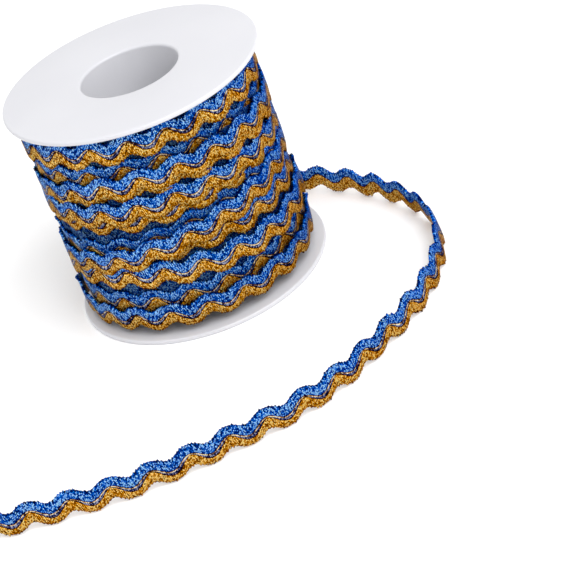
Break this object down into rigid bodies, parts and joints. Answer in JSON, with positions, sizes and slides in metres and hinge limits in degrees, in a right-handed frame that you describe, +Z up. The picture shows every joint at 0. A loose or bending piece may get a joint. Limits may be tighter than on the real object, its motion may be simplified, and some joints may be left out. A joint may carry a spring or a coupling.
{
  "type": "roll of ric rac on a flanged plastic spool",
  "caption": "Wavy two-tone metallic ric rac braid wound on a white flanged plastic spool with a through bore, its loose end trailing on the surface.",
  "frame": {"origin": "centre of the lower flange's underside, on the spool's axis, at the surface it stands on", "axes": "+Z up along the spool's bore; -Y is the front, where the loose end passes; +X is the side on which the loose end leaves"},
  "size_m": [0.1243, 0.1169, 0.058],
  "materials": {
    "white_plastic": "satin moulded white",
    "wound_braid": "metallic braid, blue upper half and gold lower half",
    "loose_braid": "metallic braid, blue upper half and gold lower half"
  },
  "bodies": {
    "root": {"spool": "white_plastic", "winding": "wound_braid", "loose_end": "loose_braid"}
  },
  "joints": []
}
